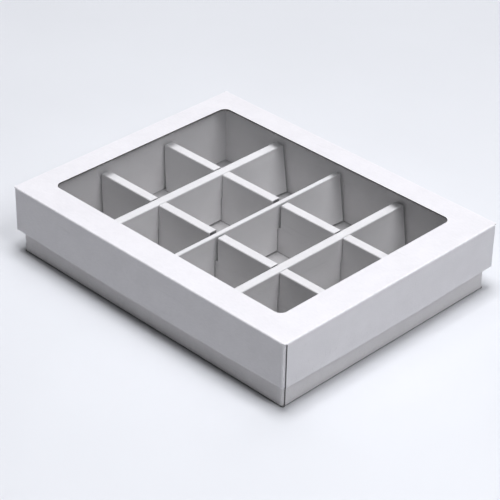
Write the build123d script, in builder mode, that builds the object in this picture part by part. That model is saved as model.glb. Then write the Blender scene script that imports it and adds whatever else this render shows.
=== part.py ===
from build123d import *
import os

os.makedirs("parts", exist_ok=True)

# Box for twelve sweets, folded from white card. All lengths are in millimetres.
# The frame has X along the long side, Y along the short side and Z up, with the
# origin in the middle of the tray's underside.

# Overall size of the closed box
lid_length = 190.0
lid_width = 150.0
box_height = 38.0
lid_depth = 25.0

# The card and the way it folds
card = 0.5
fold_radius = 0.8
wrap_radius = 1.3
patch_radius = 1.0
patch_inset = 0.1
layer_gap = 0.15
cut_gap = 0.3
seam_inset = 1.6
panel_root = 6.0

# Lid: rolled-over walls, corner tabs and the window
lid_wall = 2.0
lid_long_bow = 1.3
lid_short_bow = 1.0
lid_bow_spans = 6
lid_inner_clearance = 1.2
lid_tab = 8.0
window_margin_x = 15.7
window_margin_y = 15.0
window_corner = 4.0
window_shift_x = -2.2
window_shift_y = 0.7

# Clear film glued behind the window, which lies on the tray's ridge all round
film_thickness = 0.2
film_ridge_lap = 2.5
film_corner = 2.0

# Tray: hollow walls with a flat ridge on top
tray_inset = 2.9
tray_wall = 5.1
tray_inner_lean = 0.3
tray_tab = 16.0

# Divider strips, folded like an upside-down U and slotted together. The long ones
# stand on the floor, and the short ones hang in their slots, just clear of it. The
# slots hold a short strip's legs together, and past them its ends spring open.
divider_height = 28.5
divider_width = 5.2
pinched_width = 2.8
divider_fold_radius = 0.7
divider_end_radius = 1.5
long_end_taper = 1.2
short_end_spring = 3.8
short_foot_gap = 0.8
slot_play = 0.5
cell_pitch_x = 42.5
cell_pitch_y = 44.7
strip_end_trim = 1.3
end_play = 0.6

# Worked out from the sizes above
half_lid_x = lid_length / 2
half_lid_y = lid_width / 2
half_tray_x = half_lid_x - tray_inset
half_tray_y = half_lid_y - tray_inset
panel_level = box_height - card
tray_height = panel_level - film_thickness
lid_bottom = box_height - lid_depth
window_length = lid_length - 2 * window_margin_x
window_width = lid_width - 2 * window_margin_y
lid_wrap_x = half_lid_x - card - layer_gap
tray_wrap_x = half_tray_x - card - layer_gap
inner_x = half_tray_x - tray_wall
inner_y = half_tray_y - tray_wall

half_long_strip = 2 * cell_pitch_x - strip_end_trim
half_short_strip = 1.5 * cell_pitch_y - strip_end_trim
grid_x = -inner_x + end_play + half_long_strip
grid_y = inner_y - end_play - half_short_strip
column_x = [grid_x + step * cell_pitch_x for step in (-1, 0, 1)]
row_y = [grid_y + step * cell_pitch_y for step in (-0.5, 0.5)]
divider_top = card + divider_height
slot_level = card + divider_height / 2
slot_width = divider_width + 2 * slot_play
half_held_run = cell_pitch_y / 2 + slot_width / 2
knee_level = divider_top - 2 * divider_fold_radius
short_foot = card + short_foot_gap

front, back = Vector(0, -1, 0), Vector(0, 1, 0)
left, right = Vector(-1, 0, 0), Vector(1, 0, 0)
corners = [(side_x, side_y) for side_x in (-1, 1) for side_y in (-1, 1)]
quarter_turn = 90


def bent_card(points, radii, side):
    """Profile of a folded card: drawn along its outer face, then thickened inwards."""
    with BuildLine() as outline:
        FilletPolyline(*points, radius=radii)
        offset(amount=card, side=side)
    make_face(outline.edges())


def wall_plane(outward, place):
    """Plane across a wall, its x axis pointing outwards and its y axis up."""
    along = outward.cross(Vector(0, 0, 1))
    return Plane(origin=along * place, x_dir=outward, z_dir=along)


def lid_wall_points(half_span, lean):
    """Outer face of a lid wall: top panel, crease, wall, rolled foot, inner layer."""
    foot = half_span + lean
    return [
        (half_span - panel_root, box_height),
        (half_span, box_height),
        (foot, lid_bottom),
        (foot - lid_wall, lid_bottom),
        (half_span - lid_wall, box_height - lid_inner_clearance),
    ]


def tray_shell_points(half_span):
    """Outer face of a tray wall: floor, crease, wall, and the ridge up to its inner fold."""
    return [
        (half_span - panel_root, 0),
        (half_span, 0),
        (half_span, tray_height),
        (half_span - tray_wall + fold_radius, tray_height),
    ]


def tray_lining_points(half_span):
    """Outer face of a tray wall's inner layer: ridge, fold, and the leaning panel down to the floor."""
    ridge_edge = half_span - tray_wall
    return [
        (half_span - fold_radius, tray_height),
        (ridge_edge, tray_height),
        (ridge_edge + tray_inner_lean, card + cut_gap),
    ]


def corner_bends(wrap_x, half_y, reach):
    """Plan of the four corners, where a long wall turns and runs on behind the short wall."""
    for side_x, side_y in corners:
        turn = -side_x * side_y
        start = (side_x * (wrap_x - wrap_radius), side_y * half_y)
        with BuildLine() as outline:
            bend = JernArc(start, (side_x, 0), wrap_radius, turn * quarter_turn)
            Line(bend @ 1, (side_x * wrap_x, side_y * (half_y - reach)))
            offset(amount=card, side=Side.LEFT if turn > 0 else Side.RIGHT)
        make_face(outline.edges())


def corner_patches(wrap_x, half_x, half_y):
    """Plan of the four small corners of a panel, between the creases of its walls."""
    for side_x, side_y in corners:
        near = (side_x * (wrap_x - wrap_radius), side_y * (half_y - seam_inset))
        far = (side_x * (half_x - patch_inset), side_y * (half_y - patch_inset))
        with BuildLine() as outline:
            rim = [near, (far[0], near[1]), far, (near[0], far[1])]
            FilletPolyline(*rim, radius=(0, patch_radius), close=False)
            Line((near[0], far[1]), near)
        make_face(outline.edges())


# Lid: four rolled walls that bow outwards, a panel with the window, and corner tabs
lid_long_run = lid_wrap_x - wrap_radius
lid_short_run = half_lid_y - seam_inset
lid_walls = [(way, half_lid_y, lid_long_run, lid_long_bow) for way in (front, back)]
lid_walls += [(way, half_lid_x, lid_short_run, lid_short_bow) for way in (left, right)]
bow_shares = [2 * span / lid_bow_spans - 1 for span in range(lid_bow_spans + 1)]

with BuildPart() as lid:
    for outward, half_span, half_run, bow in lid_walls:
        for share in bow_shares:
            with BuildSketch(wall_plane(outward, share * half_run)):
                bent_card(lid_wall_points(half_span, bow * (1 - share**2)), fold_radius, Side.RIGHT)
        loft(ruled=True)
    with BuildSketch(Plane.XY.offset(panel_level)):
        Rectangle(lid_length - 2 * panel_root, lid_width - 2 * panel_root)
        corner_patches(lid_wrap_x, half_lid_x, half_lid_y)
    extrude(amount=card)
    with BuildSketch(Plane.XY.offset(lid_bottom)):
        corner_bends(lid_wrap_x, half_lid_y, seam_inset - layer_gap)
    extrude(amount=lid_depth - card)
    with BuildSketch(Plane.XY.offset(lid_bottom + card + cut_gap)):
        corner_bends(lid_wrap_x, half_lid_y, lid_tab)
    extrude(amount=lid_depth - 2 * (card + cut_gap))
    with BuildSketch(Plane.XY.offset(panel_level)):
        with Locations((window_shift_x, window_shift_y)):
            RectangleRounded(window_length, window_width, window_corner)
    extrude(amount=card, mode=Mode.SUBTRACT)
lid.part.label = "lid"
export_step(lid.part, "parts/lid.step")


# Film: glued under the lid's panel, so large that its rim lies on the tray's ridge
with BuildPart() as window_film:
    with BuildSketch(Plane.XY.offset(panel_level - film_thickness)):
        RectangleRounded(2 * (inner_x + film_ridge_lap), 2 * (inner_y + film_ridge_lap), film_corner)
    extrude(amount=film_thickness)
window_film.part.label = "window_film"
export_step(window_film.part, "parts/window_film.step")


# Tray: floor, hollow walls with a ridge, corner tabs behind the short walls
tray_long_run = tray_wrap_x - wrap_radius
tray_short_run = half_tray_y - seam_inset
tray_walls = [(way, half_tray_y, inner_x + tray_inner_lean, tray_long_run) for way in (front, back)]
tray_walls += [(way, half_tray_x, inner_y + tray_inner_lean, tray_short_run) for way in (left, right)]

with BuildPart() as tray:
    for outward, half_span, inner_run, outer_run in tray_walls:
        with BuildSketch(wall_plane(outward, 0)):
            bent_card(tray_lining_points(half_span), fold_radius, Side.LEFT)
        extrude(amount=inner_run, both=True)
        with BuildSketch(wall_plane(outward, 0)):
            bent_card(tray_shell_points(half_span), fold_radius, Side.LEFT)
        extrude(amount=outer_run, both=True)
    with BuildSketch():
        Rectangle(2 * (half_tray_x - panel_root), 2 * (half_tray_y - panel_root))
        corner_patches(tray_wrap_x, half_tray_x, half_tray_y)
    extrude(amount=card)
    with BuildSketch(Plane.XY.offset(tray_height - card)):
        corner_patches(tray_wrap_x, half_tray_x, half_tray_y)
    extrude(amount=card)
    with BuildSketch(Plane.XY.offset(card)):
        corner_bends(tray_wrap_x, half_tray_y, seam_inset - layer_gap)
    extrude(amount=tray_height - 2 * card)
    with BuildSketch(Plane.XY.offset(card + cut_gap)):
        corner_bends(tray_wrap_x, half_tray_y, tray_tab)
    extrude(amount=tray_height - 2 * (card + cut_gap))
tray.part.label = "tray"
export_step(tray.part, "parts/tray.step")


def upright_plane(base, x, y):
    """The base plane moved so that its origin stands at x, y on the floor."""
    return Plane(origin=(x, y, 0), x_dir=base.x_dir, z_dir=base.z_dir)


def divider_section(width, foot):
    """Section of a divider strip: two legs joined by a rounded fold on top."""
    legs = [(-width / 2, foot), (-width / 2, divider_top), (width / 2, divider_top), (width / 2, foot)]
    bent_card(legs, divider_fold_radius, Side.RIGHT)


def sprung_leg(outer_knee, outer_foot):
    """Section of one leg below its knee, from the outer face's place at the knee and at the foot."""
    inward = card if outer_knee < 0 else -card
    with BuildLine() as outline:
        Polyline(
            (outer_knee, knee_level),
            (outer_knee + inward, knee_level),
            (outer_foot + inward, card),
            (outer_foot, card),
            close=True,
        )
    make_face(outline.edges())


def strip_side(half_top, half_foot, foot, slots, slot_from, slot_to):
    """Side view of a strip: top corners rounded, ends tapered, with a slot at each crossing."""
    ends = [(-half_foot, foot), (-half_top, divider_top), (half_top, divider_top), (half_foot, foot)]
    with BuildLine() as outline:
        Polyline(*ends, close=True)
    face = make_face(outline.edges())
    fillet(face.vertices().group_by(Axis.Y)[-1], divider_end_radius)
    with Locations([(place, (slot_from + slot_to) / 2) for place in slots]):
        Rectangle(slot_width, slot_to - slot_from, mode=Mode.SUBTRACT)


# Long strips: slotted from above, one for each row line
long_slots = [place - grid_x for place in column_x]
for name, place in zip(("long_divider_front", "long_divider_back"), row_y):
    with BuildPart() as strip:
        with BuildSketch(upright_plane(Plane.YZ, grid_x, place)):
            divider_section(divider_width, card)
        extrude(amount=half_long_strip, both=True)
        with BuildSketch(upright_plane(Plane.XZ, grid_x, place)):
            half_foot = half_long_strip - long_end_taper
            strip_side(half_long_strip, half_foot, card, long_slots, slot_level, divider_top)
        extrude(amount=divider_width, both=True, mode=Mode.INTERSECT)
    strip.part.label = name
    export_step(strip.part, f"parts/{name}.step")


# Short strips: slotted from below, the middle one pinched together
short_slots = [place - grid_y for place in row_y]
short_strips = [
    ("short_divider_left", column_x[0], divider_width),
    ("short_divider_middle", column_x[1], pinched_width),
    ("short_divider_right", column_x[2], divider_width),
]
for name, place, width in short_strips:
    with BuildPart() as strip:
        for half_run, foot in ((half_held_run, card), (half_short_strip, knee_level)):
            with BuildSketch(upright_plane(Plane.XZ, place, grid_y)):
                divider_section(width, foot)
            extrude(amount=half_run, both=True)
        for side, end in corners:
            for along, spring in ((half_held_run, 0), (half_short_strip, short_end_spring)):
                with BuildSketch(upright_plane(Plane.XZ, place, grid_y + end * along)):
                    sprung_leg(side * width / 2, side * (width / 2 + spring))
            loft(ruled=True)
        with BuildSketch(upright_plane(Plane.YZ, place, grid_y)):
            strip_side(half_short_strip, half_short_strip, short_foot, short_slots, short_foot, slot_level)
        extrude(amount=divider_width + short_end_spring, both=True, mode=Mode.INTERSECT)
    strip.part.label = name
    export_step(strip.part, f"parts/{name}.step")
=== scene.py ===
# %% [markdown]
# # A white card box for twelve sweets
# The box is a shallow tray of folded card, a lid with a clear window, and a loose grid of
# slotted strips. The CAD model already gives every piece its true place and size, so this
# script never moves one. It adds what CAD can't: the look of the card, with its fibre, folds,
# rubbed edges and raw cuts, painted shade in its cuts, seams and along its foot, the thin
# window film, and a plain studio to see them in.

# %% Load the frame
import math

import bpy
import numpy as np
from mathutils import Matrix, Vector


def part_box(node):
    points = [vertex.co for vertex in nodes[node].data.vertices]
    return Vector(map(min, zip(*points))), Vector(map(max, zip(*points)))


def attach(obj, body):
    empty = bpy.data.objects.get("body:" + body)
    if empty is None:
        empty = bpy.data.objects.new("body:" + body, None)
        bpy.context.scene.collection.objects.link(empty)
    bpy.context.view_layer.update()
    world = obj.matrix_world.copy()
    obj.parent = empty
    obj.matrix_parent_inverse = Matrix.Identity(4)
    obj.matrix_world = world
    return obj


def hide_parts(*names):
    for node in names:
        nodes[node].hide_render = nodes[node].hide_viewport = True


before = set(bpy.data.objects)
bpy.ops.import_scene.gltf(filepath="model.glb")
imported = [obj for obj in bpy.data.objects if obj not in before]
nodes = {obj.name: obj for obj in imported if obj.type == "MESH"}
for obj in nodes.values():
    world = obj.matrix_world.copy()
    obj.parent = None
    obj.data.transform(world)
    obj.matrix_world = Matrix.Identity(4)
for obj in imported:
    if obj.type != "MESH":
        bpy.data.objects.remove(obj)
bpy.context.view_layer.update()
for name in sorted(nodes):
    low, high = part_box(name)
    print(name, "measures", [round(1000 * (b - a), 1) for a, b in zip(low, high)], "mm")

# %% [markdown]
# ## Camera
# The photograph was taken from the front right corner, almost a metre away and looking down
# by about a third of a right angle. From so far off, the far edges look only a little
# shorter than the near ones, and a long lens gives that calm, flat look. The camera could
# be aimed with a constraint, but its real place and three angles are plainer, and they
# can't drift.

# %% Camera
VIEW_AZIMUTH, VIEW_ELEVATION, VIEW_ROLL = 44.30, 32.556, 1.231
CAMERA_PLACE = (0.5671, -0.5823, 0.5301)
FOCAL_PIXELS, IMAGE_PIXELS, SENSOR_MM = 1913.9, 500, 36.0
NEAREST_SEEN, FURTHEST_SEEN = 0.05, 20.0


def aim(azimuth, elevation, roll):
    """The camera's axes from three angles in degrees: it looks back along the direction
    (sin a cos e, -cos a cos e, sin e), then turns by the roll about that direction."""
    a, e, r = np.radians([azimuth, elevation, roll])
    back = np.array([np.sin(a) * np.cos(e), -np.cos(a) * np.cos(e), np.sin(e)])
    level = np.array([np.cos(a), np.sin(a), 0.0])
    right = level * np.cos(r) + np.cross(back, level) * np.sin(r)
    return np.column_stack([right, np.cross(back, right), back])


lens = bpy.data.cameras.new("camera")
lens.sensor_width = SENSOR_MM
lens.lens = FOCAL_PIXELS / IMAGE_PIXELS * SENSOR_MM
lens.clip_start = NEAREST_SEEN
lens.clip_end = FURTHEST_SEEN
camera = bpy.data.objects.new("camera", lens)
bpy.context.scene.collection.objects.link(camera)
axes = Matrix(aim(VIEW_AZIMUTH, VIEW_ELEVATION, VIEW_ROLL).tolist())
camera.matrix_world = Matrix.Translation(CAMERA_PLACE) @ axes.to_4x4()
bpy.context.scene.camera = camera
print("lens:", round(lens.lens, 1), "mm, distance:", round(Vector(CAMERA_PLACE).length, 2), "m")

# %% [markdown]
# ## Light
# In the photograph the tops of the card are almost white while every upright face is grey,
# and the front faces get hardly more than what the floor throws back. So the light comes
# from above: one lamp straight overhead, a wide ceiling panel round it, and a second panel
# over the back left, which lights the cells' hidden sides. A lamp on the right makes the
# short side the brighter one, and three weak, low lamps open the shadows. Area lamps are
# used because their size sets how soft each shadow is. The powers were found by rendering
# the box with each lamp alone and asking which mix gives the greys of the photograph. The
# sky lights almost nothing, but a black one would turn the window into a dark mirror when it
# is seen at a low angle, so rays that come off a shiny surface meet a brighter sky.

# %% Light
SKY_STRENGTH, SKY_MIRRORED, SKY_COLOUR = 0.01, 0.4, (0.95, 0.97, 1.0)
STUDIO_WHITE = (0.965, 0.97, 1.0)
LAMPS = {
    # name: (place in metres, point that it faces, side length in metres, watts, colour)
    "overhead lamp": ((0.0, 0.0, 1.8), (0.0, 0.0, 0.0), 0.6, 18.9, STUDIO_WHITE),
    "ceiling panel": ((0.0, 0.0, 1.6), (0.0, 0.0, 0.0), 2.0, 10.2, STUDIO_WHITE),
    "back left panel": ((-1.1, 1.1, 1.6), (-1.1, 1.1, 0.0), 2.2, 11.7, STUDIO_WHITE),
    "right lamp": ((1.1, 0.0, 1.3), (0.0, 0.0, 0.0), 0.8, 10.9, STUDIO_WHITE),
    "low back left": ((-1.6, 1.6, 0.7), (0.0, 0.0, 0.0), 1.2, 0.9, STUDIO_WHITE),
    "low front": ((0.3, -2.2, 0.35), (0.0, 0.0, 0.1), 0.6, 1.1, STUDIO_WHITE),
    "low right": ((2.2, 0.0, 0.3), (0.0, 0.0, 0.1), 0.5, 0.4, (0.6, 0.8, 1.0)),
}


def soft_lamp(name, place, faces, side, watts, colour):
    """A square lamp that shines from its place towards the point that it faces."""
    lamp = bpy.data.lights.new(name, "AREA")
    lamp.shape = "SQUARE"
    lamp.size = side
    lamp.energy = watts
    lamp.color = colour
    holder = bpy.data.objects.new(name, lamp)
    bpy.context.scene.collection.objects.link(holder)
    turn = (Vector(faces) - Vector(place)).to_track_quat("-Z", "Y")
    holder.matrix_world = Matrix.Translation(place) @ turn.to_matrix().to_4x4()
    return holder


sky = bpy.data.worlds.new("studio sky")
bpy.context.scene.world = sky
sky.use_nodes = True
tree = sky.node_tree
background = tree.nodes["Background"]
background.inputs["Color"].default_value = (*SKY_COLOUR, 1.0)
path = tree.nodes.new("ShaderNodeLightPath")
strength = tree.nodes.new("ShaderNodeMapRange")
strength.inputs["To Min"].default_value = SKY_STRENGTH
strength.inputs["To Max"].default_value = SKY_MIRRORED
tree.links.new(path.outputs["Is Glossy Ray"], strength.inputs["Value"])
tree.links.new(strength.outputs["Result"], background.inputs["Strength"])
for name, setting in LAMPS.items():
    soft_lamp(name, *setting)
print("lamps:", list(LAMPS))

# %% [markdown]
# ## Tone
# Product photographs are developed with more contrast than the eye sees. Blender's filmic
# views would grey the whites, so the plain Standard view is kept, and a gamma a little under
# one deepens the greys while it leaves white alone.

# %% Tone
VIEW_GAMMA = 0.75
bpy.context.scene.view_settings.view_transform = "Standard"
bpy.context.scene.view_settings.gamma = VIEW_GAMMA

# %% [markdown]
# ## Small helpers for node trees
# A material is a tree of nodes. Written out one by one they fill pages, so small helpers do
# the repeated work. The first links a value to a socket, the second adds a node and wires its
# inputs with it, and the other two add a step of arithmetic, on single numbers or on vectors.


# %% Node helpers
def wire(tree, value, socket):
    """Links an output to a socket, or sets the socket where the value is a plain number."""
    if isinstance(value, bpy.types.NodeSocket):
        tree.links.new(value, socket)
    else:
        socket.default_value = value


def add(tree, kind, inputs=None, **settings):
    """Adds a node of a kind, sets its properties, and wires its inputs by name or number."""
    node = tree.nodes.new(kind)
    for key, value in settings.items():
        setattr(node, key, value)
    for key, value in (inputs or {}).items():
        wire(tree, value, node.inputs[key])
    return node


def calc(tree, operation, *values, clamp=False):
    """One step of arithmetic on numbers, such as calc(tree, "MULTIPLY", a, 2.0)."""
    node = add(tree, "ShaderNodeMath", dict(enumerate(values)), operation=operation, use_clamp=clamp)
    return node.outputs[0]


def vector(tree, operation, *values):
    """One step of arithmetic on vectors, such as vector(tree, "SUBTRACT", a, b)."""
    node = add(tree, "ShaderNodeVectorMath", dict(enumerate(values)), operation=operation)
    return node.outputs[1 if operation in ("LENGTH", "DOT_PRODUCT", "DISTANCE") else 0]


print("node helpers:", [helper.__name__ for helper in (wire, add, calc, vector)])

# %% [markdown]
# ## Helpers for patterns
# Four more helpers are built on those: a smooth ramp turns any value into a mask, a noise
# gives clouds of a chosen size, a blend lays one colour over another through a mask, and the
# last one starts a node group, which is a pattern that several materials can share.


# %% Pattern helpers
def ramp(tree, value, start, end, low=0.0, high=1.0):
    """Rises smoothly from low to high while the value goes from start to end."""
    inputs = {"Value": value, "From Min": start, "From Max": end, "To Min": low, "To Max": high}
    return add(tree, "ShaderNodeMapRange", inputs, interpolation_type="SMOOTHSTEP").outputs["Result"]


def noise(tree, place, per_metre, detail, roughness=0.5):
    """A cloudy pattern from 0 to 1 with so many clouds in a metre, and smaller ones on top."""
    inputs = {"Vector": place, "Scale": per_metre, "Detail": detail, "Roughness": roughness}
    return add(tree, "ShaderNodeTexNoise", inputs).outputs["Fac"]


def blend(tree, mask, under, over):
    """Lays the colour over on the colour under where the mask is 1."""
    node = add(tree, "ShaderNodeMix", {"Factor": mask}, data_type="RGBA")
    wire(tree, under, node.inputs[6])
    wire(tree, over, node.inputs[7])
    return node.outputs[2]


def new_group(name, inputs, outputs):
    """An empty shader node group with named inputs (with their usual values) and outputs."""
    tree = bpy.data.node_groups.new(name, "ShaderNodeTree")
    for label, value in inputs.items():
        kind = "NodeSocketVector" if isinstance(value, tuple) else "NodeSocketFloat"
        tree.interface.new_socket(label, in_out="INPUT", socket_type=kind).default_value = value
    for label in outputs:
        tree.interface.new_socket(label, in_out="OUTPUT", socket_type="NodeSocketFloat")
    return tree, tree.nodes.new("NodeGroupInput").outputs, tree.nodes.new("NodeGroupOutput").inputs


print("pattern helpers:", [helper.__name__ for helper in (ramp, noise, blend, new_group)])

# %% [markdown]
# ## What card is made of
# White box card is pressed wood fibre with a thin coat of clay. Seen closely it has short
# fibres that mostly lie one way, the grain, and a finer tangle between them. Seen from an
# arm's length it has faint cloudy patches where the sheet is denser, and it is never quite
# flat. Each of these is a noise of its own size, stretched along the grain for the fibres.
# They go into one node group, because the lid, the tray and the strips all share them.

# %% Card fibre group
FIBRES_PER_METRE, TANGLE_PER_METRE = 2200.0, 5200.0
CLOUDS_PER_METRE, WAVES_PER_METRE = 95.0, 34.0
ALONG_GRAIN, FIBRE_SHARE, TANGLE_SHARE = (0.22, 1.0, 1.0), 0.6, 0.45

tree, given, result = new_group(
    "card_fibre",
    {"Place": (0.0, 0.0, 0.0), "Fibre Share": FIBRE_SHARE},
    ("Tone", "Height", "Wave"),
)
lying = vector(tree, "MULTIPLY", given["Place"], ALONG_GRAIN)
fibres = noise(tree, lying, FIBRES_PER_METRE, detail=3.0, roughness=0.6)
tangle = noise(tree, given["Place"], TANGLE_PER_METRE, detail=2.0)
clouds = noise(tree, given["Place"], CLOUDS_PER_METRE, detail=3.0)
blurred = calc(tree, "SUBTRACT", 1.0, given["Fibre Share"])
tone = calc(tree, "MULTIPLY", fibres, given["Fibre Share"])
wire(tree, calc(tree, "MULTIPLY_ADD", clouds, blurred, tone), result["Tone"])
wire(tree, calc(tree, "MULTIPLY_ADD", tangle, TANGLE_SHARE, fibres), result["Height"])
wire(tree, noise(tree, given["Place"], WAVES_PER_METRE, detail=1.0), result["Wave"])
card_fibre = tree
print("card fibre:", len(tree.nodes), "nodes")

# %% [markdown]
# ## Rubbed folds
# Where card is creased, the coat stretches and rubs thin, so a fold is a slightly different
# white, in a broken line about a millimetre wide. A wear mask is often taken from how sharply
# a mesh bends, but that changes with the mesh. Here it is geometry: the folds of a box lie
# on the edges of a block, and the distance to the nearest edge is the length of two of the
# three gaps between the point and the block's faces. Noise then breaks the line up.

# %% Fold wear group
BREAKS_PER_METRE, BREAK_EDGES, LEAST_WEAR = 420.0, (0.38, 0.62), 0.3
LINE_EDGES = (1.0, 0.25)

tree, given, result = new_group(
    "fold_wear",
    {"Place": (0.0, 0.0, 0.0), "Middle": (0.0, 0.0, 0.0), "Half": (0.1, 0.1, 0.1), "Width": 0.001},
    ("Wear",),
)
away = vector(tree, "ABSOLUTE", vector(tree, "SUBTRACT", given["Place"], given["Middle"]))
gap = vector(tree, "SUBTRACT", away, given["Half"])
nearest = None
for pair in ((1.0, 1.0, 0.0), (0.0, 1.0, 1.0), (1.0, 0.0, 1.0)):
    reach = vector(tree, "LENGTH", vector(tree, "MULTIPLY", gap, pair))
    nearest = reach if nearest is None else calc(tree, "MINIMUM", nearest, reach)
line = ramp(tree, calc(tree, "DIVIDE", nearest, given["Width"]), *LINE_EDGES)
patchy = noise(tree, given["Place"], BREAKS_PER_METRE, detail=3.0, roughness=0.6)
breaks = ramp(tree, patchy, *BREAK_EDGES, low=LEAST_WEAR)
wire(tree, calc(tree, "MULTIPLY", line, breaks), result["Wear"])
fold_wear = tree
print("fold wear:", len(tree.nodes), "nodes")

# %% [markdown]
# ## Scuffs
# A white box that has been handled has a few faint rub marks, long and thin, that show more
# in the shine than in the colour. A noise stretched strongly in one direction and cut off
# high gives sparse streaks. A second, wide noise keeps them to a few patches.

# %% Scuff group
STREAKS_PER_METRE, STREAK_EDGES = 700.0, (0.58, 0.74)
PATCHES_PER_METRE, PATCH_EDGES = 28.0, (0.48, 0.66)
ALONG_STREAK = (0.05, 1.0, 0.6)

tree, given, result = new_group("scuffs", {"Place": (0.0, 0.0, 0.0), "Amount": 1.0}, ("Scuff",))
drawn = vector(tree, "MULTIPLY", given["Place"], ALONG_STREAK)
streaks = ramp(tree, noise(tree, drawn, STREAKS_PER_METRE, detail=2.0), *STREAK_EDGES)
patches = ramp(tree, noise(tree, given["Place"], PATCHES_PER_METRE, detail=2.0), *PATCH_EDGES)
scuffed = calc(tree, "MULTIPLY", streaks, patches)
wire(tree, calc(tree, "MULTIPLY", scuffed, given["Amount"], clamp=True), result["Scuff"])
scuffs = tree
print("scuffs:", len(tree.nodes), "nodes")

# %% [markdown]
# ## Two sides of a sheet
# Only one side of the sheet is coated. Where a wall is rolled over, the coated side comes
# round to the inside too, but the floor of the tray and the underside of the lid keep the
# bare side. It is found by its height and by facing up or down. Its grey is partly the
# board's own and partly painted shade for the tray's shadowed floor. The sheet's cut edges
# show the pulp, and they are painted much darker than pulp, as the shade that falls in the
# narrow cuts and seams. The longest ones stand at the corners, where each short wall ends
# and the long wall is wrapped round behind it. They are found by facing along the box's
# width and by their distance from its middle. One flaw is left: the lid's long walls bow,
# so their inner layer comes through the same distance, and a dark band of this painted shade
# shows there once the lid is lifted. A limit along the box's length, to the last millimetre
# at each end, would take it away.

# %% Sides and ends of a sheet
SHEET, SEAM_INSET = 0.0005, 0.0016
SAME_LEVEL = SHEET / 5
FACING_EDGES = (0.7, 0.9)


def facing(tree, *directions, edges=FACING_EDGES):
    """1 where a face looks along one of the directions, whichever way round it lies."""
    normal = add(tree, "ShaderNodeTexCoord").outputs["Normal"]
    return ramp(tree, vector(tree, "LENGTH", vector(tree, "MULTIPLY", normal, directions)), *edges)


def at_level(tree, value, level):
    """1 within a fifth of a sheet of a height, or of a distance from the middle."""
    off = calc(tree, "ABSOLUTE", calc(tree, "SUBTRACT", value, level))
    return calc(tree, "LESS_THAN", off, SAME_LEVEL)


def bare_side(tree, place, level):
    """1 on level faces at one height, which is where the sheet shows its uncoated side."""
    height = add(tree, "ShaderNodeSeparateXYZ", {"Vector": place}).outputs["Z"]
    return calc(tree, "MULTIPLY", facing(tree, 0.0, 0.0, 1.0), at_level(tree, height, level))


def wall_ends(tree, place, half_width):
    """1 on the raw ends of the short walls, a seam's inset in from the long walls. On the
    lid it also marks a band of the bowed inner layer, a flaw that the closed box hides."""
    out = vector(tree, "LENGTH", vector(tree, "MULTIPLY", place, (0.0, 1.0, 0.0)))
    level = at_level(tree, out, half_width - SEAM_INSET)
    return calc(tree, "MULTIPLY", facing(tree, 0.0, 1.0, 0.0), level)


print("sheet:", 1000 * SHEET, "mm thick, seams", 1000 * SEAM_INSET, "mm in from the corners")

# %% [markdown]
# ## The card material
# The pieces share one recipe with their own values: how white the sheet is, which way its
# grain runs, how shiny its coat is, and where its folds are. The fibre tone shades the white
# by a hair, the folds rub a little brighter and duller, and scuffs take off some shine. Raw
# cuts get a dark colour that is partly pulp and partly painted shade, and the same colour
# paints the shade along the tray's foot. The bare side is greyer, partly as painted shade,
# duller and more fibrous. Two bumps follow: the fibres, a few hundredths of a millimetre
# high, and under them the waves of a sheet that isn't quite flat.

# %% Card material
# Painted shade: far darker than real pulp, this colour paints the shade in raw cuts, seams and gaps
# and along the tray's foot.
PULP_AND_SHADE = (0.17, 0.165, 0.16, 1.0)
# Partly the board's own grey and partly painted shade that darkens the tray's floor in the cells.
BARE_GREY_AND_SHADE = (0.576, 0.624)
CLOUD_SHADES, CLOUD_EDGES = (0.965, 1.025), (0.3, 0.7)
RUBBED_SHADE, RUBBED_SHARE = 1.10, 0.7
SCUFFED_SHADE, SCUFFED_SHARE = 0.86, 0.3
FIBRE_DULLS, BARE_DULLS, RUBBED_DULLS, SCUFFED_DULLS = 0.16, 0.2, 0.15, 0.2
FIBRE_HEIGHT, FIBRE_BUMP = 0.00005, 0.6
WAVE_HEIGHT, WAVE_BUMP = 0.0016, 0.5


def shade(colour, factor):
    """A colour made lighter or darker by a factor."""
    return (*(min(1.0, factor * c) for c in colour), 1.0)


def pattern(tree, group, **inputs):
    """Places a node group in a material and wires its inputs by name."""
    node = add(tree, "ShaderNodeGroup", node_tree=group)
    for key, value in inputs.items():
        wire(tree, value, node.inputs[key])
    return node.outputs


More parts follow.
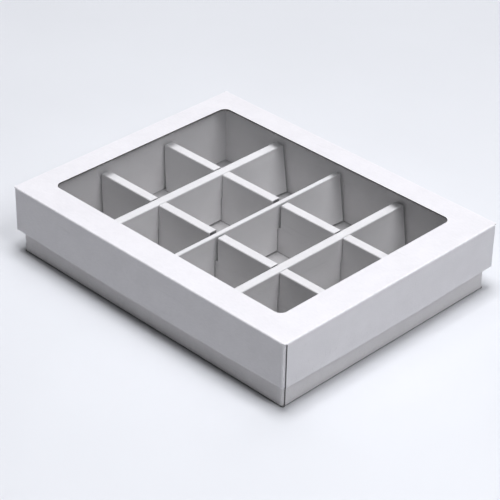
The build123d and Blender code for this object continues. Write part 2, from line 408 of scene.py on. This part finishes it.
def card_material(name, white, block, fold_width, rough, grain_turn=0.0, cuts_and_shade=None, bare_level=None):
    """Folded card. block is the middle and the half size of the block that the folds lie on,
    cuts_and_shade makes the mask of the raw cuts and of the painted shade in the tree, which
    get the dark pulp-and-shade colour, and bare_level is the height at which the sheet
    shows its uncoated side, painted greyer partly as shade."""
    material = bpy.data.materials.new(name)
    material.use_nodes = True
    tree = material.node_tree
    shader = tree.nodes["Principled BSDF"]
    place = add(tree, "ShaderNodeTexCoord").outputs["Object"]
    turned = add(tree, "ShaderNodeMapping", {"Vector": place, "Rotation": (0.0, 0.0, grain_turn)})
    grain = turned.outputs["Vector"]
    fibre = pattern(tree, card_fibre, Place=grain)
    folds = {"Place": place, "Middle": block[0], "Half": block[1], "Width": fold_width}
    rubbed = pattern(tree, fold_wear, **folds)["Wear"]
    scuffed = pattern(tree, scuffs, Place=grain)["Scuff"]

    cloudy = ramp(tree, fibre["Tone"], *CLOUD_EDGES)
    colour = blend(tree, cloudy, *(shade(white, factor) for factor in CLOUD_SHADES))
    share = calc(tree, "MULTIPLY", rubbed, RUBBED_SHARE)
    colour = blend(tree, share, colour, shade(white, RUBBED_SHADE))
    share = calc(tree, "MULTIPLY", scuffed, SCUFFED_SHARE)
    colour = blend(tree, share, colour, shade(white, SCUFFED_SHADE))
    dull = calc(tree, "MULTIPLY_ADD", fibre["Tone"], FIBRE_DULLS, rough - FIBRE_DULLS / 2)
    # Painted shade: the masked cuts, seams and foot line get the dark pulp-and-shade colour.
    if cuts_and_shade is not None:
        colour = blend(tree, cuts_and_shade(tree, place), colour, PULP_AND_SHADE)
    # Painted shade: the bare side's grey stands partly for the shade on the cells' floors.
    if bare_level is not None:
        bare = bare_side(tree, place, bare_level)
        fibrous = blend(tree, fibre["Tone"], *(shade(white, factor) for factor in BARE_GREY_AND_SHADE))
        colour = blend(tree, bare, colour, fibrous)
        dull = calc(tree, "MULTIPLY_ADD", bare, BARE_DULLS, dull)
    wire(tree, colour, shader.inputs["Base Color"])
    dull = calc(tree, "MULTIPLY_ADD", rubbed, RUBBED_DULLS, dull)
    dull = calc(tree, "MULTIPLY_ADD", scuffed, SCUFFED_DULLS, dull, clamp=True)
    wire(tree, dull, shader.inputs["Roughness"])

    waves = {"Height": fibre["Wave"], "Distance": WAVE_HEIGHT, "Strength": WAVE_BUMP}
    under = add(tree, "ShaderNodeBump", waves).outputs["Normal"]
    hairs = {"Height": fibre["Height"], "Distance": FIBRE_HEIGHT, "Strength": FIBRE_BUMP}
    over = add(tree, "ShaderNodeBump", {**hairs, "Normal": under}).outputs["Normal"]
    wire(tree, over, shader.inputs["Normal"])
    return material


print("bare side:", [round(factor, 3) for factor in BARE_GREY_AND_SHADE], "of the coated white")

# %% [markdown]
# ## Putting a material on a piece
# A CAD node keeps its mesh and only swaps its plain material for the finished one. Its folds
# are told to the material as a block: the middle and the half size of the node's box.


# %% Dressing helpers
def dress(material, *names):
    """Gives CAD nodes their finished material in place of the plain one."""
    for name in names:
        nodes[name].data.materials.clear()
        nodes[name].data.materials.append(material)
    print(material.name, "on", names)


def block_of(name):
    """The middle and half size of a node's box, which its folds lie on."""
    low, high = (np.array(corner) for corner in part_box(name))
    return tuple(((low + high) / 2).tolist()), tuple(((high - low) / 2).tolist())


print("tray's block:", block_of("tray"))

# %% [markdown]
# ## Lid
# The lid is one sheet: a flat top with a window cut out, and four walls folded down and
# rolled back inside, so their lower edge is a soft roll and not a cut. The walls bow out
# towards that edge, so the folds are measured on the top, 190 by 150 mm, and not on the
# box of the whole lid. The window's edge is a raw cut, painted dark as pulp and as the shade
# under the top's border. It is found as the upright faces that lie inside the top's border.

# %% Lid
LID_WHITE = (0.797, 0.785, 0.797)
LID_ROUGH, LID_FOLD = 0.42, 0.0016
LID_TOP_HALF = (0.0950, 0.0750)
WINDOW_INSIDE = (0.085, 0.065)
WINDOW_FACING_EDGES = (0.6, 0.9)
NEAR_TOP = 0.0006

lid_low, lid_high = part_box("lid")
lid_middle = (0.0, 0.0, (lid_low[2] + lid_high[2]) / 2)
lid_half = (*LID_TOP_HALF, (lid_high[2] - lid_low[2]) / 2)


def window_cut(tree, place):
    """1 on the window's raw edge: upright faces near the top and inside the border."""
    upright = facing(tree, 1.0, 1.0, 0.0, edges=WINDOW_FACING_EDGES)
    part = add(tree, "ShaderNodeSeparateXYZ", {"Vector": vector(tree, "ABSOLUTE", place)}).outputs
    high = calc(tree, "GREATER_THAN", part["Z"], lid_high[2] - NEAR_TOP)
    in_x = calc(tree, "LESS_THAN", part["X"], WINDOW_INSIDE[0])
    in_y = calc(tree, "LESS_THAN", part["Y"], WINDOW_INSIDE[1])
    inside = calc(tree, "MULTIPLY", calc(tree, "MULTIPLY", in_x, in_y), high)
    return calc(tree, "MULTIPLY", inside, upright)


def lid_cuts(tree, place):
    """1 on every raw cut of the lid that shows: the window's edge and the walls' ends."""
    return calc(tree, "MAXIMUM", window_cut(tree, place), wall_ends(tree, place, LID_TOP_HALF[1]))


# Painted shade: the window's cut edge and the corner seams get the dark pulp-and-shade colour.
lid_card = card_material(
    "lid_card", LID_WHITE, (lid_middle, lid_half), LID_FOLD, LID_ROUGH,
    cuts_and_shade=lid_cuts, bare_level=lid_high[2] - SHEET,
)
dress(lid_card, "lid")

# %% [markdown]
# ## Tray
# The tray is folded the same way from the same sheet, with its grain along the box. Its
# folds lie on its own block: round the floor, up the corners and along the rolled rim. A
# thin line along the foot, where the tray stands on the table, is painted dark as the contact
# shadow, in some places a little less than in others.

# %% Tray
TRAY_WHITE = (0.77, 0.755, 0.755)
TRAY_ROUGH, TRAY_FOLD = 0.5, 0.0014
# Painted shade: a dark line along the tray's foot stands for the contact shadow on the table.
FOOT_SHADOW_HEIGHT = 0.0009
FOOT_SHADOW_BREAKS_PER_METRE, FOOT_SHADOW_BREAK_EDGES, LEAST_FOOT_SHADOW = 160.0, (0.3, 0.5), 0.85

tray_middle, tray_half = block_of("tray")


def painted_foot_shadow(tree, place):
    """1 up to half the painted shadow line's height, falling to nothing at its top, on the outside."""
    height = add(tree, "ShaderNodeSeparateXYZ", {"Vector": place}).outputs["Z"]
    low = ramp(tree, height, FOOT_SHADOW_HEIGHT, FOOT_SHADOW_HEIGHT / 2)
    patchy = noise(tree, place, FOOT_SHADOW_BREAKS_PER_METRE, detail=2.0)
    broken = ramp(tree, patchy, *FOOT_SHADOW_BREAK_EDGES, low=LEAST_FOOT_SHADOW)
    out = add(tree, "ShaderNodeSeparateXYZ", {"Vector": vector(tree, "ABSOLUTE", place)}).outputs
    by_x = calc(tree, "GREATER_THAN", out["X"], tray_half[0] - FOOT_SHADOW_HEIGHT)
    by_y = calc(tree, "GREATER_THAN", out["Y"], tray_half[1] - FOOT_SHADOW_HEIGHT)
    outside = calc(tree, "MAXIMUM", by_x, by_y)
    return calc(tree, "MULTIPLY", calc(tree, "MULTIPLY", low, broken), outside)


def tray_cuts_and_foot_shadow(tree, place):
    """1 where the tray is painted darkest: the painted contact shadow along its foot and its raw wall
    ends.
    """
    return calc(tree, "MAXIMUM", painted_foot_shadow(tree, place), wall_ends(tree, place, tray_half[1]))


tray_card = card_material(
    "tray_card", TRAY_WHITE, (tray_middle, tray_half), TRAY_FOLD, TRAY_ROUGH,
    cuts_and_shade=tray_cuts_and_foot_shadow, bare_level=SHEET,
)
dress(tray_card, "tray")

# %% [markdown]
# ## Strips
# Each strip is a sheet folded over into a narrow upside-down U, so it has two folds along its
# top, and raw cuts along its feet and at its ends. The long strips lie along the box and the
# short ones across it, and their grain and folds follow, so each strip gets a material of its
# own. The raw cuts are the lowest half millimetre and the last half millimetre of each end.
# They get the dark pulp-and-shade colour, partly pulp and partly painted shade where the
# feet meet the floor and the ends meet the walls.

# %% Strips
STRIP_WHITE = (0.755, 0.745, 0.745)
STRIP_ROUGH, STRIP_FOLD = 0.6, 0.0009
CUT_DEPTH = SHEET


def strip_cuts(middle, half):
    """Makes the mask for one strip: 1 within a card's thickness of its feet or its ends."""
    along = 0 if half[0] > half[1] else 1

    def mask(tree, place):
        away = vector(tree, "ABSOLUTE", vector(tree, "SUBTRACT", place, middle))
        far = add(tree, "ShaderNodeSeparateXYZ", {"Vector": away}).outputs[along]
        at_end = ramp(tree, far, half[along] - CUT_DEPTH, half[along])
        height = add(tree, "ShaderNodeSeparateXYZ", {"Vector": place}).outputs["Z"]
        at_foot = ramp(tree, height, middle[2] - half[2] + CUT_DEPTH, middle[2] - half[2])
        return calc(tree, "MAXIMUM", at_end, at_foot)

    return mask


for name in sorted(n for n in nodes if "divider" in n):
    middle, half = block_of(name)
    turn = 0.0 if half[0] > half[1] else math.radians(90)
    cuts = strip_cuts(middle, half)
    # Painted shade: each strip's feet and ends get the dark pulp-and-shade colour.
    finish = card_material(
        name + "_card", STRIP_WHITE, (middle, half), STRIP_FOLD, STRIP_ROUGH, turn, cuts_and_shade=cuts
    )
    dress(finish, name)

# %% [markdown]
# ## Window film
# The film is a clear plastic sheet, a tenth of a millimetre thick, glued under the lid. It
# hangs by a hair and has a few long ripples, which only its reflections show. A flat plate
# would mirror the studio like glass, so the film is built as a surface: its height is a sag
# in the middle plus two crossing waves, and both fade to nothing at the glued border. The
# round corners come from squeezing the corner squares of the grid into quarter discs.

# %% Film surface
FILM_THICKNESS, FILM_CORNER, GLUE = 0.0001, 0.002, 0.00001
FILM_SAG, FILM_RIPPLE = 0.00005, 0.00002
FILM_WAVES = ((5.1, 2.0, 0.0), (1.7, -6.3, 1.0))
TINY = 1e-12
FILM_COLUMNS, FILM_ROWS = 90, 70


def film_surface(low, high):
    """A grid over the box's plan. Height = top - glue - thickness/2 - fade * (sag + ripple *
    waves), where u and v run from -1 to 1, fade = (1 - u^2)(1 - v^2), and waves is the sum
    of sin(a u + b v + turn). In a corner square a point q from the corner's centre goes to
    q * max(|qx|, |qy|) / |q|, which rounds it."""
    u, v = np.meshgrid(np.linspace(-1, 1, FILM_COLUMNS), np.linspace(-1, 1, FILM_ROWS), indexing="ij")
    half = (high[:2] - low[:2]) / 2
    plan = np.stack([u * half[0], v * half[1]], axis=-1)
    past = np.maximum(np.abs(plan) - (half - FILM_CORNER), 0.0)
    length = np.hypot(past[..., 0], past[..., 1])
    in_corner = past.min(axis=-1) > 0
    squeeze = np.where(in_corner, past.max(axis=-1) / np.maximum(length, TINY), 1.0)
    plan = plan - np.sign(plan) * past * (1.0 - squeeze)[..., None]
    waves = sum(np.sin(a * u + b * v + turn) for a, b, turn in FILM_WAVES)
    fade = (1 - u**2) * (1 - v**2)
    height = high[2] - FILM_THICKNESS / 2 - fade * (FILM_SAG + FILM_RIPPLE * waves) - GLUE
    middle = (high[:2] + low[:2]) / 2
    return np.concatenate([plan + middle, height[..., None]], axis=-1)


film_low, film_high = (np.array(corner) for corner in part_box("window_film"))
points = film_surface(film_low, film_high)
number = np.arange(FILM_COLUMNS * FILM_ROWS).reshape(FILM_COLUMNS, FILM_ROWS)
squares = np.stack([number[:-1, :-1], number[1:, :-1], number[1:, 1:], number[:-1, 1:]], axis=-1)
film_mesh = bpy.data.meshes.new("film_sheet")
film_mesh.from_pydata(points.reshape(-1, 3).tolist(), [], squares.reshape(-1, 4).tolist())
film_mesh.polygons.foreach_set("use_smooth", np.ones(len(film_mesh.polygons), dtype=bool))
film = bpy.data.objects.new("film_sheet", film_mesh)
bpy.context.scene.collection.objects.link(film)
thickness = film.modifiers.new("thickness", "SOLIDIFY")
thickness.thickness = FILM_THICKNESS
thickness.offset = 0.0
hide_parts("window_film")
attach(film, "lid_body")
print("film sags by", round(1000 * float(points[..., 2].max() - points[..., 2].min()), 3), "mm")

# %% [markdown]
# ## Clear film finish
# Clear film shows itself only by what it reflects: little when seen straight on and more at
# a low angle. Real transmission would make the light inside the box noisy and slow, so most
# of the surface is simply let through with alpha, and what is left is a bright mirror. A
# Fresnel node would be the usual choice, but it takes the film's underside for the inside of
# a thick block of plastic and turns it opaque. So the angle comes from Layer Weight, which
# gives 1 - cosine when its blend is a half, and Schlick's rule turns it into a share:
# least + (1 - least) * (1 - cosine) ^ 5. A few faint smears lift the alpha and dull the
# mirror.

# %% Film material
FILM_TINT = (0.95, 0.97, 0.98, 1.0)
PLAIN_BLEND, MIRROR_POWER = 0.5, 5.0
LEAST_MIRROR, DIRT_MIRROR = 0.015, 0.008
CLEAR_ROUGH, DIRT_ROUGH = 0.05, 0.2
SMEARS_PER_METRE, SMEAR_EDGES = 26.0, (0.52, 0.75)

clear = bpy.data.materials.new("film")
clear.use_nodes = True
tree = clear.node_tree
shader = tree.nodes["Principled BSDF"]
shader.inputs["Base Color"].default_value = FILM_TINT
shader.inputs["Metallic"].default_value = 1.0
place = add(tree, "ShaderNodeTexCoord").outputs["Object"]
slant = add(tree, "ShaderNodeLayerWeight", {"Blend": PLAIN_BLEND}).outputs["Facing"]
steep = calc(tree, "POWER", slant, MIRROR_POWER)
mirror = calc(tree, "MULTIPLY_ADD", steep, 1.0 - LEAST_MIRROR, LEAST_MIRROR)
smudged = noise(tree, place, SMEARS_PER_METRE, detail=4.0, roughness=0.6)
smears = ramp(tree, smudged, *SMEAR_EDGES)
dirt = calc(tree, "MAXIMUM", smears, pattern(tree, scuffs, Place=place)["Scuff"])
wire(tree, calc(tree, "MULTIPLY_ADD", dirt, DIRT_MIRROR, mirror, clamp=True), shader.inputs["Alpha"])
wire(tree, calc(tree, "MULTIPLY_ADD", dirt, DIRT_ROUGH, CLEAR_ROUGH), shader.inputs["Roughness"])
film_mesh.materials.append(clear)
print("film mirrors at least", LEAST_MIRROR, "of the light")

# %% [markdown]
# ## Floor
# The box stands on a sheet of pale studio paper that runs out of sight. The paper isn't part
# of the object. It is a plain large square, since a smooth sheet has no other shape, with a
# faint cloudiness and a fine tooth so that it reads as paper.

# %% Floor
FLOOR_REACH = 6.0
FLOOR_WHITE, FLOOR_SHADES = (0.757, 0.765, 0.78), (0.99, 1.01)
PAPER_CLOUDS_PER_METRE, PAPER_ROUGH = 7.0, 0.6
TOOTH_PER_METRE, TOOTH_DULLS = 1500.0, 0.1
TOOTH_HEIGHT, TOOTH_BUMP = 0.00005, 0.4

quarters = ((-1, -1), (1, -1), (1, 1), (-1, 1))
corners = [(FLOOR_REACH * x, FLOOR_REACH * y, 0.0) for x, y in quarters]
floor_mesh = bpy.data.meshes.new("floor")
floor_mesh.from_pydata(corners, [], [(0, 1, 2, 3)])
floor = bpy.data.objects.new("floor", floor_mesh)
bpy.context.scene.collection.objects.link(floor)

paper = bpy.data.materials.new("floor_paper")
paper.use_nodes = True
tree = paper.node_tree
shader = tree.nodes["Principled BSDF"]
place = add(tree, "ShaderNodeTexCoord").outputs["Object"]
clouds = ramp(tree, noise(tree, place, PAPER_CLOUDS_PER_METRE, detail=3.0), *CLOUD_EDGES)
cloudy = blend(tree, clouds, *(shade(FLOOR_WHITE, factor) for factor in FLOOR_SHADES))
wire(tree, cloudy, shader.inputs["Base Color"])
tooth = noise(tree, place, TOOTH_PER_METRE, detail=3.0)
wire(tree, calc(tree, "MULTIPLY_ADD", tooth, TOOTH_DULLS, PAPER_ROUGH), shader.inputs["Roughness"])
bump = add(tree, "ShaderNodeBump", {"Height": tooth, "Distance": TOOTH_HEIGHT, "Strength": TOOTH_BUMP})
wire(tree, bump.outputs["Normal"], shader.inputs["Normal"])
floor_mesh.materials.append(paper)
print("floor:", 2 * FLOOR_REACH, "m wide")
